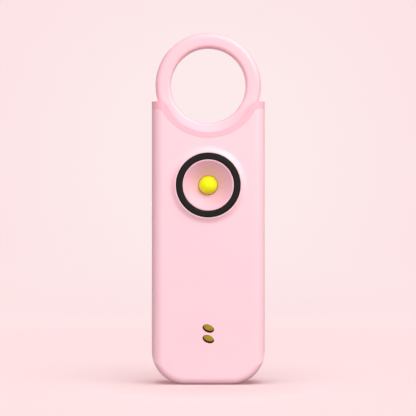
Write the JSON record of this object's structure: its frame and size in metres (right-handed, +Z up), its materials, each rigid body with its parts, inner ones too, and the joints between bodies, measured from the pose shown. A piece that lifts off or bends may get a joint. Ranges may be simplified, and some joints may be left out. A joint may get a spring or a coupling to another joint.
{
  "type": "personal safety alarm",
  "caption": "Slim pocket safety alarm with a pull ring seated in its notched top, a strobe light in a raised collar and slanted sound ports over a piezo siren.",
  "frame": {"origin": "centre of the flat base that the alarm stands on", "axes": "+Z up along the alarm's length towards the pull ring, -Y out of the front with the strobe light, X across its width"},
  "size_m": [0.03, 0.0138, 0.0936],
  "materials": {
    "shell_pink": "satin moulded pale pink, fine spark texture",
    "ring_pink": "satin moulded pale pink",
    "cradle_pink": "satin moulded deeper pink",
    "reflector_pink": "polished moulded pink",
    "trim_black": "satin black",
    "lamp_yellow": "clear-gloss yellow epoxy",
    "rubber_black": "matt black",
    "brass": "satin, lightly aged",
    "ceramic_white": "silvered white, fired",
    "cup_black": "moulded black",
    "wire_red": "red insulation",
    "wire_black": "black insulation",
    "board_green": "green solder mask",
    "chip_black": "moulded black",
    "ferrite": "dull dark grey",
    "copper": "enamelled copper wire",
    "cap_sleeve": "blue shrink sleeve",
    "spring_metal": "bright phosphor bronze",
    "tin": "tinned",
    "cell_steel": "brushed stainless",
    "screw_steel": "zinc plated"
  },
  "bodies": {
    "case": {"front_shell": "shell_pink", "rear_shell": "shell_pink", "ring_cradle": "cradle_pink", "stem_seal": "rubber_black", "trim_ring": "trim_black", "reflector": "reflector_pink", "strobe_led": "lamp_yellow", "led_leads": "tin", "port_screens": "brass", "port_gasket": "rubber_black", "siren_diaphragm": "brass", "siren_ceramic": "ceramic_white", "siren_cup": "cup_black", "siren_lead_red": "wire_red", "siren_lead_black": "wire_black", "circuit_board": "board_green", "siren_chip": "chip_black", "coil_core": "ferrite", "coil_winding": "copper", "storage_capacitor": "cap_sleeve", "drive_transistors": "chip_black", "chip_resistors": "chip_black", "leaf_foot": "spring_metal", "fixed_contact": "spring_metal", "cell_holder": "cup_black", "front_coin_cell": "cell_steel", "rear_coin_cell": "cell_steel", "positive_strap": "tin", "negative_contact": "tin", "case_screws": "screw_steel"},
    "ring": {"pull_ring": "ring_pink"},
    "leaf": {"switch_leaf": "spring_metal"}
  },
  "joints": [
    {"name": "ring_pull", "type": "slide", "parent": "case", "child": "ring", "axis": [0, 0, 1], "range_m": [0, 0.024]},
    {"name": "leaf_bend", "type": "hinge", "parent": "case", "child": "leaf", "pos_m": [0, 0.0009, 0.057], "axis": [1, 0, 0], "range_deg": [0, 30]}
  ],
  "couplings": [
    {"joint": "leaf_bend", "follows": "ring_pull", "rad_per_m": 21.795}
  ]
}
